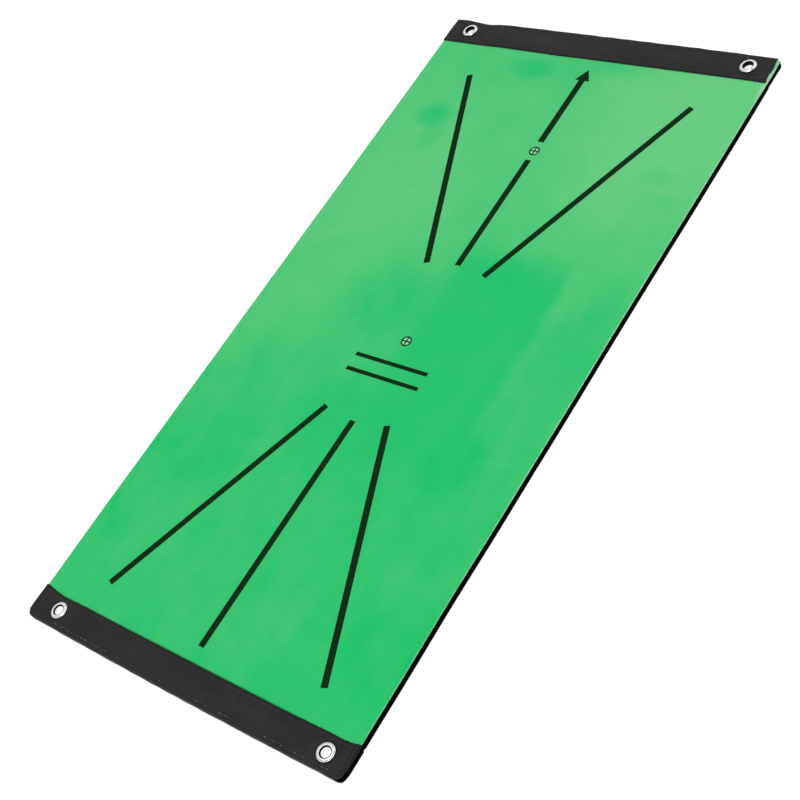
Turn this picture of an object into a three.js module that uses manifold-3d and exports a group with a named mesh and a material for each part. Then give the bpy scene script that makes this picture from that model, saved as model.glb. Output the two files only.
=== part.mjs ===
// Golf swing practice mat: a printed nap fabric on a rubber base, with a leather-like strip folded
// over each short end and a two-part eyelet in each corner. Millimetres, +Z up, +Y towards the
// target. The origin is on the ground, under the middle of the mat.

import * as THREE from 'three';
import { mergeVertices } from 'three/addons/utils/BufferGeometryUtils.js';
import Module from 'manifold-3d';

// ---- Driving dimensions ----

const MAT_WIDTH = 300;
const MAT_LENGTH = 610;

const RUBBER_THICKNESS = 4.8;
const FABRIC_THICKNESS = 0.7;
const LEATHER_THICKNESS = 0.8;
const GLUE_FILM = 0.05;

const STRIP_WIDTH = 24;
const STRIP_FOLD_RADIUS = 1.6;
const STRIP_STEP_CLEARANCE = 0.3;

// Where the target strip's upper flap stops short of the mat's right-hand edge
const FLAP_TRIM_AT_FOLD = 2.3;
const FLAP_TRIM_AT_EDGE = 1.3;

const SEAM_FROM_END = 3.2;
const SEAM_FROM_FLAP_EDGE = 3;
const SEAM_FROM_SIDE = 3.5;
const SEAM_CORNER_RADIUS = 1.5;
const SEAM_GROOVE_WIDTH = 1;
const SEAM_GROOVE_DEPTH = 0.3;
const THREAD_WIDTH = 0.6;
const NEEDLE_THREAD_HEIGHT = 0.4;
const BOBBIN_THREAD_HEIGHT = 0.2;

const EYELET_FLANGE_RADIUS = 6.6;
const EYELET_HOLE_RADIUS = 3.5;
const EYELET_METAL = 0.4;
const EYELET_DOME_HEIGHT = 0.9;
const EYELET_SINK = 0.3;
const WASHER_RADIUS = 6.4;
const WASHER_THICKNESS = 0.4;
const WASHER_SINK = 1.1;
const EYELET_CLEARANCE = 0.3;
const ROUND_SEGMENTS = 24;
const CURVE_SEGMENTS = 2;

// Each end is described as if it lay towards +Y, and the tail end is then turned half a turn
const ENDS = [
  {
    name: 'target',
    turn: 0,
    corners: { left: 2.5, right: 3.5 },
    trimmed: true,
    eyelets: { left: [-130.3, 293.3], right: [128.6, 292.9] },
  },
  {
    name: 'tail',
    turn: Math.PI,
    corners: { left: 4.5, right: 6.5 },
    trimmed: false,
    eyelets: { left: [124.6, 292.1], right: [-131.3, 292.8] },
  },
];

// ---- Levels, from the ground up ----

const HALF_WIDTH = MAT_WIDTH / 2;
const HALF_LENGTH = MAT_LENGTH / 2;
const FABRIC_BOTTOM = RUBBER_THICKNESS + GLUE_FILM;
const FABRIC_TOP = FABRIC_BOTTOM + FABRIC_THICKNESS;
const FLAP_BOTTOM = FABRIC_TOP + GLUE_FILM;
const FLAP_TOP = FLAP_BOTTOM + LEATHER_THICKNESS;
const WRAP_DEPTH = LEATHER_THICKNESS + GLUE_FILM;
const FLAP_EDGE_Y = HALF_LENGTH - STRIP_WIDTH;
const BEYOND = 5;

// ---- Colours and finishes ----

function finish(color, roughness, metalness) {
  return new THREE.MeshStandardMaterial({ color, roughness, metalness });
}

const FINISHES = {
  fabric: () => finish(0x3cc470, 0.95, 0),
  rubber: () => finish(0x111111, 0.85, 0),
  leather: () => finish(0x303032, 0.6, 0),
  metal: () => finish(0xd8dadc, 0.18, 1),
  thread: () => finish(0x3a3a3d, 0.8, 0),
};

// ---- Joining and cutting closed solids ----

const wasm = await Module();
wasm.setup();

function toSolid(geometry) {
  const bare = geometry.clone();
  bare.deleteAttribute('normal');
  bare.deleteAttribute('uv');
  const merged = mergeVertices(bare);
  return new wasm.Manifold(new wasm.Mesh({
    numProp: 3,
    vertProperties: new Float32Array(merged.attributes.position.array),
    triVerts: new Uint32Array(merged.index.array),
  }));
}

function toGeometry(solid) {
  const { vertProperties, triVerts } = solid.getMesh();
  const geometry = new THREE.BufferGeometry();
  geometry.setAttribute('position', new THREE.BufferAttribute(vertProperties, 3));
  geometry.setIndex(new THREE.BufferAttribute(triVerts, 1));
  geometry.computeVertexNormals();
  return geometry;
}

function cutAll(solid, cutters) {
  return cutters.reduce((left, cutter) => left.subtract(cutter), solid);
}

// ---- Basic solids ----

function extrude(shape, low, high) {
  const geometry = new THREE.ExtrudeGeometry(shape, {
    depth: high - low,
    bevelEnabled: false,
    curveSegments: CURVE_SEGMENTS,
  });
  return geometry.translate(0, 0, low);
}

function block(x0, x1, y0, y1, z0, z1) {
  const geometry = new THREE.BoxGeometry(x1 - x0, y1 - y0, z1 - z0);
  return toSolid(geometry.translate((x0 + x1) / 2, (y0 + y1) / 2, (z0 + z1) / 2));
}

function post([x, y], radius, z0, z1) {
  const geometry = new THREE.CylinderGeometry(radius, radius, z1 - z0, ROUND_SEGMENTS);
  return toSolid(geometry.rotateX(Math.PI / 2).translate(x, y, (z0 + z1) / 2));
}

// ---- Outlines seen from above ----

// The mat's outline, from the corner radii of its two ends, each given as that end is seen from
// above with its edge away from the viewer
function matOutline(halfLength, tail, target) {
  const corners = [
    { radius: tail.left, sideX: 1, sideY: -1, from: -Math.PI / 2 },
    { radius: target.right, sideX: 1, sideY: 1, from: 0 },
    { radius: target.left, sideX: -1, sideY: 1, from: Math.PI / 2 },
    { radius: tail.right, sideX: -1, sideY: -1, from: Math.PI },
  ];
  const shape = new THREE.Shape();
  for (const { radius, sideX, sideY, from } of corners) {
    const x = sideX * (HALF_WIDTH - radius);
    const y = sideY * (halfLength - radius);
    shape.absarc(x, y, radius, from, from + Math.PI / 2);
  }
  shape.closePath();
  return shape;
}

function roundRect(path, x0, x1, y0, y1, radius) {
  path.absarc(x1 - radius, y0 + radius, radius, -Math.PI / 2, 0);
  path.absarc(x1 - radius, y1 - radius, radius, 0, Math.PI / 2);
  path.absarc(x0 + radius, y1 - radius, radius, Math.PI / 2, Math.PI);
  path.absarc(x0 + radius, y0 + radius, radius, Math.PI, 1.5 * Math.PI);
  path.closePath();
  return path;
}

// A ring of the given width that follows the seam once round the strip
function seamRing(end, width) {
  const x0 = SEAM_FROM_SIDE - HALF_WIDTH;
  const x1 = HALF_WIDTH - SEAM_FROM_SIDE - (end.trimmed ? FLAP_TRIM_AT_FOLD : 0);
  const y0 = FLAP_EDGE_Y + SEAM_FROM_FLAP_EDGE;
  const y1 = HALF_LENGTH - SEAM_FROM_END;
  const out = width / 2;
  const around = [x0 - out, x1 + out, y0 - out, y1 + out, SEAM_CORNER_RADIUS + out];
  const within = [x0 + out, x1 - out, y0 + out, y1 - out, SEAM_CORNER_RADIUS - out];
  const shape = roundRect(new THREE.Shape(), ...around);
  shape.holes.push(roundRect(new THREE.Path(), ...within));
  return shape;
}

// ---- The pieces of one end, in the frame where that end lies towards +Y ----

// The strip's section across the mat: upper flap, fold round the end, and lower flap
function stripSection() {
  const inner = HALF_LENGTH - LEATHER_THICKNESS;
  const bend = HALF_LENGTH - STRIP_FOLD_RADIUS;
  const section = new THREE.Shape();
  section.moveTo(FLAP_EDGE_Y, 0);
  section.absarc(bend, STRIP_FOLD_RADIUS, STRIP_FOLD_RADIUS, -Math.PI / 2, 0);
  section.absarc(bend, FLAP_TOP - STRIP_FOLD_RADIUS, STRIP_FOLD_RADIUS, 0, Math.PI / 2);
  section.lineTo(FLAP_EDGE_Y, FLAP_TOP);
  section.lineTo(FLAP_EDGE_Y, FLAP_BOTTOM);
  section.lineTo(inner, FLAP_BOTTOM);
  section.lineTo(inner, LEATHER_THICKNESS);
  section.lineTo(FLAP_EDGE_Y, LEATHER_THICKNESS);
  section.closePath();
  return section;
}

// Turns a solid drawn in the Y-Z plane and extruded along its own Z so that it runs along X
function layAlongX(geometry) {
  const turn = new THREE.Matrix4().makeBasis(
    new THREE.Vector3(0, 1, 0),
    new THREE.Vector3(0, 0, 1),
    new THREE.Vector3(1, 0, 0),
  );
  return geometry.applyMatrix4(turn);
}

// The slanting cut that leaves the fabric bare beside the target strip's upper flap
function flapTrim() {
  const wall = HALF_LENGTH - LEATHER_THICKNESS;
  const shape = new THREE.Shape();
  shape.moveTo(HALF_WIDTH - FLAP_TRIM_AT_EDGE, FLAP_EDGE_Y);
  shape.lineTo(HALF_WIDTH - FLAP_TRIM_AT_EDGE, FLAP_EDGE_Y - BEYOND);
  shape.lineTo(HALF_WIDTH + BEYOND, FLAP_EDGE_Y - BEYOND);
  shape.lineTo(HALF_WIDTH + BEYOND, wall);
  shape.lineTo(HALF_WIDTH - FLAP_TRIM_AT_FOLD, wall);
  shape.closePath();
  return toSolid(extrude(shape, FLAP_BOTTOM - GLUE_FILM / 2, FLAP_TOP + BEYOND));
}

// The lower flap is pressed up round each washer, so the washer stays clear of the ground
function washerDimple(at) {
  const wall = WASHER_RADIUS + EYELET_CLEARANCE + LEATHER_THICKNESS;
  return post(at, wall, LEATHER_THICKNESS / 2, WASHER_SINK + LEATHER_THICKNESS);
}

function endStrip(end) {
  const centres = Object.values(end.eyelets);
  const section = layAlongX(extrude(stripSection(), -HALF_WIDTH, HALF_WIDTH));
  const outline = matOutline(HALF_LENGTH, end.corners, end.corners);
  const flange = EYELET_FLANGE_RADIUS + EYELET_CLEARANCE;
  const hole = EYELET_HOLE_RADIUS + EYELET_METAL + EYELET_CLEARANCE;
  const washer = WASHER_RADIUS + EYELET_CLEARANCE;
  const grooves = seamRing(end, SEAM_GROOVE_WIDTH);
  let strip = toSolid(section).intersect(toSolid(extrude(outline, -BEYOND, FLAP_TOP + BEYOND)));
  centres.forEach((at) => {
    strip = strip.add(washerDimple(at));
  });
  strip = cutAll(strip, [
    ...centres.map((at) => post(at, hole, -BEYOND, FLAP_TOP + BEYOND)),
    ...centres.map((at) => post(at, flange, FLAP_TOP - EYELET_SINK, FLAP_TOP + BEYOND)),
    ...centres.map((at) => post(at, washer, -BEYOND, WASHER_SINK)),
    toSolid(extrude(grooves, FLAP_TOP - SEAM_GROOVE_DEPTH, FLAP_TOP + BEYOND)),
    toSolid(extrude(grooves, -BEYOND, SEAM_GROOVE_DEPTH)),
  ]);
  if (end.trimmed) strip = strip.subtract(flapTrim());
  return toGeometry(strip);
}

function needleThread(end) {
  const low = FLAP_TOP - SEAM_GROOVE_DEPTH + GLUE_FILM;
  return extrude(seamRing(end, THREAD_WIDTH), low, low + NEEDLE_THREAD_HEIGHT);
}

function bobbinThread(end) {
  const high = SEAM_GROOVE_DEPTH - GLUE_FILM;
  return extrude(seamRing(end, THREAD_WIDTH), high - BOBBIN_THREAD_HEIGHT, high);
}

// ---- Eyelets ----

// Both sides of the sheet metal, listed down the inside and back up the outside: a domed flange,
// a straight tube and a lip curled out under the washer
function eyeletProfile() {
  const seat = FLAP_TOP - EYELET_SINK + GLUE_FILM;
  const crown = seat + EYELET_DOME_HEIGHT;
  const bore = EYELET_HOLE_RADIUS;
  const tube = bore + EYELET_METAL;
  const rim = EYELET_FLANGE_RADIUS;
  const curl = WASHER_SINK - GLUE_FILM - WASHER_THICKNESS - GLUE_FILM;
  return [
    [rim, seat],
    [rim - 0.2, crown - 0.35],
    [rim - 1.2, crown],
    [tube + 0.8, crown],
    [bore, crown - 0.8],
    [bore, curl],
    [tube + 0.3, 0.1],
    [tube + 1.1, 0.1],
    [tube + 1.5, curl],
    [tube + 0.3, curl],
    [tube, curl + 0.3],
    [tube, crown - 1],
    [tube + 0.8, crown - EYELET_METAL],
    [rim - 1.2, crown - EYELET_METAL],
    [rim - 0.5, seat],
  ];
}

function washerProfile() {
  const top = WASHER_SINK - GLUE_FILM;
  const low = top - WASHER_THICKNESS;
  const inner = EYELET_HOLE_RADIUS + EYELET_METAL + EYELET_CLEARANCE;
  return [
    [inner, top],
    [inner, low],
    [WASHER_RADIUS - 0.5, low],
    [WASHER_RADIUS, low - 0.3],
    [WASHER_RADIUS, top - 0.2],
    [WASHER_RADIUS - 0.2, top],
  ];
}

function turned(profile) {
  const points = [...profile, profile[0]].map(([radius, height]) => new THREE.Vector2(radius, height));
  return new THREE.LatheGeometry(points, ROUND_SEGMENTS).rotateX(Math.PI / 2);
}

// ---- The two full-length layers ----

function eyeletCentres() {
  const centres = [];
  for (const end of ENDS) {
    const sign = end.turn === 0 ? 1 : -1;
    for (const [x, y] of Object.values(end.eyelets)) centres.push([sign * x, sign * y]);
  }
  return centres;
}

function layerOutline() {
  const [target, tail] = ENDS;
  return matOutline(HALF_LENGTH - WRAP_DEPTH, tail.corners, target.corners);
}

function faceFabric() {
  const hole = EYELET_HOLE_RADIUS + EYELET_METAL + EYELET_CLEARANCE;
  const sheet = toSolid(extrude(layerOutline(), FABRIC_BOTTOM, FABRIC_TOP));
  const holes = eyeletCentres().map((at) => post(at, hole, 0, FLAP_TOP));
  return toGeometry(cutAll(sheet, holes));
}

function rubberBase() {
  const hole = EYELET_HOLE_RADIUS + EYELET_METAL + EYELET_CLEARANCE;
  const dimple = WASHER_RADIUS + 2 * EYELET_CLEARANCE + LEATHER_THICKNESS;
  const dimpleTop = WASHER_SINK + LEATHER_THICKNESS + GLUE_FILM;
  const stepX = HALF_WIDTH + BEYOND;
  const stepY = FLAP_EDGE_Y - STRIP_STEP_CLEARANCE;
  const endY = HALF_LENGTH + BEYOND;
  const slab = toSolid(extrude(layerOutline(), 0, RUBBER_THICKNESS));
  return toGeometry(cutAll(slab, [
    block(-stepX, stepX, stepY, endY, -BEYOND, WRAP_DEPTH),
    block(-stepX, stepX, -endY, -stepY, -BEYOND, WRAP_DEPTH),
    ...eyeletCentres().map((at) => post(at, hole, -BEYOND, FLAP_TOP)),
    ...eyeletCentres().map((at) => post(at, dimple, -BEYOND, dimpleTop)),
  ]));
}

// ---- Assembly ----

function addPiece(parent, name, geometry, material) {
  const mesh = new THREE.Mesh(geometry, material);
  mesh.name = name;
  parent.add(mesh);
  return mesh;
}

function buildEnd(end) {
  const group = new THREE.Group();
  group.rotation.z = end.turn;
  addPiece(group, `${end.name}_end_strip`, endStrip(end), FINISHES.leather());
  addPiece(group, `needle_thread_${end.name}`, needleThread(end), FINISHES.thread());
  addPiece(group, `bobbin_thread_${end.name}`, bobbinThread(end), FINISHES.thread());
  for (const [side, [x, y]] of Object.entries(end.eyelets)) {
    const place = `${end.name}_${side}`;
    const eyelet = addPiece(group, `eyelet_${place}`, turned(eyeletProfile()), FINISHES.metal());
    const washer = addPiece(group, `washer_${place}`, turned(washerProfile()), FINISHES.metal());
    eyelet.position.set(x, y, 0);
    washer.position.set(x, y, 0);
  }
  return group;
}

const mat = new THREE.Group();
addPiece(mat, 'rubber_base', rubberBase(), FINISHES.rubber());
addPiece(mat, 'face_fabric', faceFabric(), FINISHES.fabric());
ENDS.forEach((end) => mat.add(buildEnd(end)));

export default mat;
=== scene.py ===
import math

import bpy
import numpy as np
from mathutils import Matrix, Vector


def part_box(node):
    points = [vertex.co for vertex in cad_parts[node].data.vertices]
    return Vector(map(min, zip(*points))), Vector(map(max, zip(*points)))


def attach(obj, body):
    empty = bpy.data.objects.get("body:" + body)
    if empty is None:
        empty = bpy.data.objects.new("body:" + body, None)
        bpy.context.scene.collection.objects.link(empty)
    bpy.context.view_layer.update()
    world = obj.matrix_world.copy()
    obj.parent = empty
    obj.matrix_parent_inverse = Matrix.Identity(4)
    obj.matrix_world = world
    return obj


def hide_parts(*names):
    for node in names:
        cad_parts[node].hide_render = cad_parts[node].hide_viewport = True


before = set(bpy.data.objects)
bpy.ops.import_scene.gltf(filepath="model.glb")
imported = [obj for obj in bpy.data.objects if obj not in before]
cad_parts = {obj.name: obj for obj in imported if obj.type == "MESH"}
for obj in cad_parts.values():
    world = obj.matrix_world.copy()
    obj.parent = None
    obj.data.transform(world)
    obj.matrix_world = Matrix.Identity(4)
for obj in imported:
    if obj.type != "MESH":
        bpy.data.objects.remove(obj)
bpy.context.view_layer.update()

# The looks of a golf swing practice mat: a printed nap fabric on a rubber slab, with a sewn strip
# folded over each short end and an eyelet in each corner. Shapes are worked out in millimetres
# and made in metres, in the frame of the CAD model: +Y points to the target, +Z up.

MM = 0.001
BODY = "root"


# ---- Sizes taken from the CAD model, in millimetres ----

def box_mm(node):
    low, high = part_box(node)
    return np.array(low) / MM, np.array(high) / MM


RUBBER_LOW, RUBBER_HIGH = box_mm("rubber_base")
FABRIC_LOW, FABRIC_HIGH = box_mm("face_fabric")
STRIP_LOW, STRIP_HIGH = box_mm("target_end_strip")
HALF_WIDTH = RUBBER_HIGH[0]
LAYER_END = RUBBER_HIGH[1]
FOLD_Y = STRIP_HIGH[1]
FLAP_TOP = STRIP_HIGH[2]
STRIP_WIDTH = FOLD_Y - STRIP_LOW[1]
FABRIC_TOP = FABRIC_HIGH[2]

LEATHER = 0.8
FOLD_RADIUS = 1.6
SEAM_FROM_END = 3.2
SEAM_FROM_FLAP_EDGE = 3.0
SEAM_FROM_SIDE = 3.5
FLANGE_RADIUS = 6.6
EYELET_BORE = 3.5
EYELET_METAL = 0.4
# The radius of the holes through the layers, with a little room round the eyelets' tubes
EYELET_HOLE = EYELET_BORE + EYELET_METAL + 0.3
STITCH_PITCH = 3.6
THREAD_RADIUS, BOBBIN_RADIUS = 0.29, 0.2


# ---- How the hand-made ends differ from a straight cut ----

# Each end is described in the frame where it lies towards +Y. A bump is (height, centre, width)
# along the strip, and left and right are as seen from above. The upper flap's right-hand side is
# trimmed by so much at the fold and at its edge, and its edge reaches so much on to the fabric.
ENDS = {
    "target": {
        "turn": 0.0,
        "corners": {"left": 2.5, "right": 3.5},
        "overhang": {"left": 0.3, "right": 0.0},
        "trim": {"fold": 2.3, "edge": 1.3},
        "fold": [(-1.85, -117, 12), (-0.7, 155, 45)],
        "reach": 1.6,
        "flap": [(0.35, -115, 12), (-0.5, -85, 12), (0.5, -35, 18), (-0.3, 100, 30), (0.5, 148, 8)],
    },
    "tail": {
        "turn": math.pi,
        "corners": {"left": 4.5, "right": 6.5},
        "overhang": {"left": 0.6, "right": 1.2},
        "trim": {"fold": 0.0, "edge": 0.0},
        "fold": [(0.45, 0, 70), (-0.5, 145, 35), (-0.5, -145, 35)],
        "reach": -0.85,
        "flap": [(3.2, 152, 14), (0.4, 105, 22), (-0.3, 124, 7), (1.0, -125, 26), (2.4, -152, 8)],
    },
}
for name, end in ENDS.items():
    end["name"] = name
    end["sign"] = 1 if end["turn"] == 0 else -1
    end["eyelets"] = []
    for side in ("left", "right"):
        low, high = box_mm(f"eyelet_{name}_{side}")
        centre = (low + high) / 2
        end["eyelets"].append((end["sign"] * centre[0], end["sign"] * centre[1]))
# The lower flap lies no further out at the sides than this, whatever its upper flap does
LOWER_OVERHANG = 0.6
# The flap's cut edge is scalloped by its stitches, and wanders: (height, size in millimetres)
SCALLOP = 0.10
EDGE_WANDER = (0.16, 4)


def bell(distance, width):
    return np.exp(-((distance / width) ** 2))


def bumps(x, terms):
    return sum(height * bell(x - centre, width) for height, centre, width in terms)


def smooth(low, high, value):
    t = np.clip((value - low) / (high - low), 0, 1)
    return t * t * (3 - 2 * t)


def fold_shift(end, x):
    """How far the folded end bows out past its straight line, at x along the strip."""
    return bumps(x, end["fold"])


def flap_shift(end, x):
    """How far the upper flap's free edge reaches further on to the fabric."""
    height, size = EDGE_WANDER
    uneven = height * wavy(x, 0 * x, size, 51) + SCALLOP * np.cos(x * 2 * math.pi / STITCH_PITCH)
    return end["reach"] + bumps(x, end["flap"]) + uneven


def flap_carry(end, x, d, upper):
    """How far a point of a flap moves outwards with the bowed fold and the flap's uneven edge."""
    with_fold = fold_shift(end, x) * (1 - smooth(2, 20, d))
    return with_fold - flap_shift(end, x) * smooth(8, STRIP_WIDTH, d) * upper


def wavy(x, y, size, seed):
    """Smooth irregular waves between about -1 and 1, whose lumps are about this size."""
    rng = np.random.default_rng(seed)
    total = np.zeros(np.broadcast(x, y).shape)
    for _ in range(7):
        angle = rng.uniform(0, 2 * math.pi)
        pace = rng.uniform(0.6, 1.6) * 2 * math.pi / (2 * size)
        along = x * math.cos(angle) + y * math.sin(angle)
        total = total + np.sin(along * pace + rng.uniform(0, 2 * math.pi))
    return total / 3.2


# ---- Meshes ----

def make_mesh(name, points, faces, smooth_angle=35, tone=None):
    """A piece from points in millimetres. Its tone, from -1 to 1, darkens or pales its material."""
    mesh = bpy.data.meshes.new(name)
    mesh.from_pydata((np.asarray(points, float) * MM).tolist(), [], faces)
    if tone is not None:
        layer = mesh.attributes.new("tone", "FLOAT", "POINT")
        layer.data.foreach_set("value", np.asarray(tone, np.float32).ravel())
    mesh.validate()
    mesh.shade_smooth()
    mesh.set_sharp_from_angle(angle=math.radians(smooth_angle))
    piece = bpy.data.objects.new(name, mesh)
    bpy.context.scene.collection.objects.link(piece)
    return piece


def turned_points(points, angle):
    """Points in an end's own frame, turned about +Z to where that end is."""
    points = np.asarray(points, float)
    cos, sin = math.cos(angle), math.sin(angle)
    x, y = points[..., 0], points[..., 1]
    return np.stack([x * cos - y * sin, x * sin + y * cos, points[..., 2]], axis=-1)


def bake_modifiers(piece):
    """Replaces the piece's mesh with what its modifiers make of it."""
    graph = bpy.context.evaluated_depsgraph_get()
    shaped = piece.evaluated_get(graph)
    mesh = bpy.data.meshes.new_from_object(shaped, preserve_all_data_layers=True, depsgraph=graph)
    piece.modifiers.clear()
    piece.data = mesh
    mesh.set_sharp_from_angle(angle=math.radians(35))


def cut(piece, cutter):
    modifier = piece.modifiers.new("cut", "BOOLEAN")
    modifier.operation = "DIFFERENCE"
    modifier.solver = "EXACT"
    modifier.object = cutter
    bake_modifiers(piece)


def closed_faces(rings, around, start=0):
    """A closed tube's faces: its first ring of points, the quads between rings, its last ring."""
    faces = [[start + j for j in reversed(range(around))]]
    for i in range(rings - 1):
        base = start + i * around
        for j in range(around):
            a, b = base + j, base + (j + 1) % around
            faces.append([a, b, b + around, a + around])
    last = start + (rings - 1) * around
    return [*faces, [last + j for j in range(around)]]


def prisms(name, outlines, low, high):
    """Closed upright prisms over outlines that run anticlockwise."""
    points, faces = [], []
    for outline in outlines:
        faces += closed_faces(2, len(outline), len(points))
        points += [(x, y, z) for z in (low, high) for x, y in outline]
    return make_mesh(name, points, faces)


def rectangle(half_x, low_y, high_y):
    return [(-half_x, low_y), (half_x, low_y), (half_x, high_y), (-half_x, high_y)]


def circle(centre, radius, count):
    angles = np.arange(count) * 2 * math.pi / count
    return [(centre[0] + radius * math.cos(a), centre[1] + radius * math.sin(a)) for a in angles]


def lathe(name, profile, centre, count=96, tone=None):
    """A closed profile of (radius, height) turned about the upright axis through centre."""
    profile = np.asarray(profile)
    tone = np.zeros(len(profile)) if tone is None else tone
    angles = np.arange(count) * 2 * math.pi / count
    rings = [
        np.stack([
            centre[0] + profile[:, 0] * math.cos(a),
            centre[1] + profile[:, 0] * math.sin(a),
            profile[:, 1],
        ], axis=-1)
        for a in angles
    ]
    size = len(profile)
    faces = []
    for i in range(count):
        here, there = i * size, (i + 1) % count * size
        for j in range(size):
            k = (j + 1) % size
            faces.append([here + j, there + j, there + k, here + k])
    return make_mesh(name, np.concatenate(rings), faces, smooth_angle=50, tone=np.tile(tone, count))


# ---- Materials ----

# Base colours. Most materials mix from a deep one to a pale, dusty or worn one.
NAP_DEEP, NAP_PALE = (0.0045, 0.442, 0.121), (0.118, 0.506, 0.189)
NAP_GAPS, NAP_EDGE_HIGHLIGHT, NAP_PRESSED_AND_SHADOWED = (0.004, 0.290, 0.066), (0.36, 0.66, 0.44), (0.002, 0.050, 0.014)
DYE_DARK, DYE_DARK_WORN = (0.0036, 0.0160, 0.0048), (0.010, 0.060, 0.017)
DYE_PALE, DYE_PALE_WORN = (0.22, 0.56, 0.31), (0.13, 0.50, 0.21)
RUBBER, RUBBER_DUSTY = (0.0006, 0.0006, 0.0007), (0.010, 0.010, 0.010)
LEATHER_DEEP, LEATHER_PALE = (0.0074, 0.0073, 0.0078), (0.0130, 0.0127, 0.0133)
LEATHER_SCUFFED, LEATHER_RUBBED_AND_SHEEN = (0.036, 0.035, 0.036), (0.034, 0.034, 0.036)
LEATHER_PRESSED_AND_SHADED = (0.0030, 0.0030, 0.0030)
NICKEL_BRIGHT, NICKEL_PLAIN = (0.93, 0.93, 0.92), (0.70, 0.70, 0.69)
METAL_SHADE = (0.004, 0.004, 0.004)
THREAD_DEEP, THREAD_PALE = (0.008, 0.008, 0.0085), (0.018, 0.0175, 0.0185)
THREAD_RUBBED = (0.22, 0.21, 0.22)
FLOOR_DEEP, FLOOR_PALE = (0.15, 0.15, 0.15), (0.17, 0.17, 0.17)


class Look:
    """A node material on the Principled shader, with short ways to add its nodes."""

    def __init__(self, name):
        self.material = bpy.data.materials.new(name)
        self.material.use_nodes = True
        self.tree = self.material.node_tree
        self.shader = self.tree.nodes["Principled BSDF"]
        self.place = self.node("ShaderNodeTexCoord").outputs["Object"]

    def node(self, kind, **settings):
        made = self.tree.nodes.new(kind)
        for key, value in settings.items():
            setattr(made, key, value)
        return made

    def feed(self, socket, value):
        if isinstance(value, bpy.types.NodeSocket):
            self.tree.links.new(value, socket)
        else:
            socket.default_value = value

    def set(self, **values):
        for key, value in values.items():
            self.feed(self.shader.inputs[key.replace("_", " ")], value)

    def result(self, kind, output, inputs, **settings):
        """Adds a node, feeds its inputs, and gives one of its outputs."""
        made = self.node(kind, **settings)
        for socket, value in inputs.items():
            self.feed(made.inputs[socket], value)
        return made.outputs[output]

    def noise(self, scale, detail=2.0, roughness=0.5, distortion=0.0, place=None):
        inputs = {"Vector": place or self.place, "Scale": scale, "Detail": detail,
                  "Roughness": roughness, "Distortion": distortion}
        return self.result("ShaderNodeTexNoise", "Fac", inputs)

    def cells(self, scale):
        inputs = {"Vector": self.place, "Scale": scale}
        return self.result("ShaderNodeTexVoronoi", "Distance", inputs)

    def waves(self, scale, direction, distortion):
        inputs = {"Vector": self.place, "Scale": scale, "Distortion": distortion}
        return self.result("ShaderNodeTexWave", "Fac", inputs, bands_direction=direction)

    def scaled_place(self, scale):
        inputs = {"Vector": self.place, "Scale": scale}
        return self.result("ShaderNodeMapping", "Vector", inputs)

    def axis(self, name):
        return self.result("ShaderNodeSeparateXYZ", name, {"Vector": self.place})

    def math(self, operation, a, b=0.0):
        return self.result("ShaderNodeMath", 0, {0: a, 1: b}, operation=operation)

    def times(self, a, b):
        return self.math("MULTIPLY", a, b)

    def span(self, value, low, high, to_low=0.0, to_high=1.0):
        """The value's smooth way from low to high, which may run either way."""
        inputs = {"Value": value, "From Min": low, "From Max": high,
                  "To Min": to_low, "To Max": to_high}
        return self.result("ShaderNodeMapRange", "Result", inputs, interpolation_type="SMOOTHSTEP")

    def mix(self, amount, a, b):
        """A colour between a and b. A Mix node's colour sockets are inputs 6 and 7 and output 2."""
        a, b = (c if isinstance(c, bpy.types.NodeSocket) else (*c, 1) for c in (a, b))
        return self.result("ShaderNodeMix", 2, {"Factor": amount, 6: a, 7: b}, data_type="RGBA")

    def tone(self):
        """The piece's own tone, from -1 where it is darkest to 1 where it is palest."""
        return self.result("ShaderNodeAttribute", "Fac", {}, attribute_name="tone")

    def patch(self, x, y, half_x, half_y, amount):
        """A soft oval area round (x, y) millimetres, worth this amount in its middle."""
        inputs = {"Vector": self.place, "Location": (x * MM, y * MM, 0),
                  "Scale": (half_x * MM, half_y * MM, 1)}
        inside = self.result("ShaderNodeMapping", "Vector", inputs, vector_type="TEXTURE")
        size = self.result("ShaderNodeVectorMath", "Value", {0: inside}, operation="LENGTH")
        return self.span(size, 1.25, 0.35, 0.0, amount)

    def total(self, values):
        result = values[0]
        for value in values[1:]:
            result = self.math("ADD", result, value)
        return result

    def bump(self, height, distance, under=None):
        """A normal from this height, worth the distance in metres, over any broader normal."""
        inputs = {"Height": height, "Distance": distance, "Strength": 1.0}
        if under:
            inputs["Normal"] = under
        return self.result("ShaderNodeBump", "Normal", inputs)


def nap_normal(look):
    """Short brushed pile: fine tufts over the faint grid of the backing cloth."""
    tufts = look.noise(1500, detail=3, roughness=0.7)
    grid = look.math("ADD", look.waves(420, "X", 1.5), look.waves(420, "Y", 1.5))
    lay = look.noise(60, detail=3)
    normal = look.bump(grid, 0.00006)
    normal = look.bump(lay, 0.0006, under=normal)
    return look.bump(tufts, 0.00022, under=normal)


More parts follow.
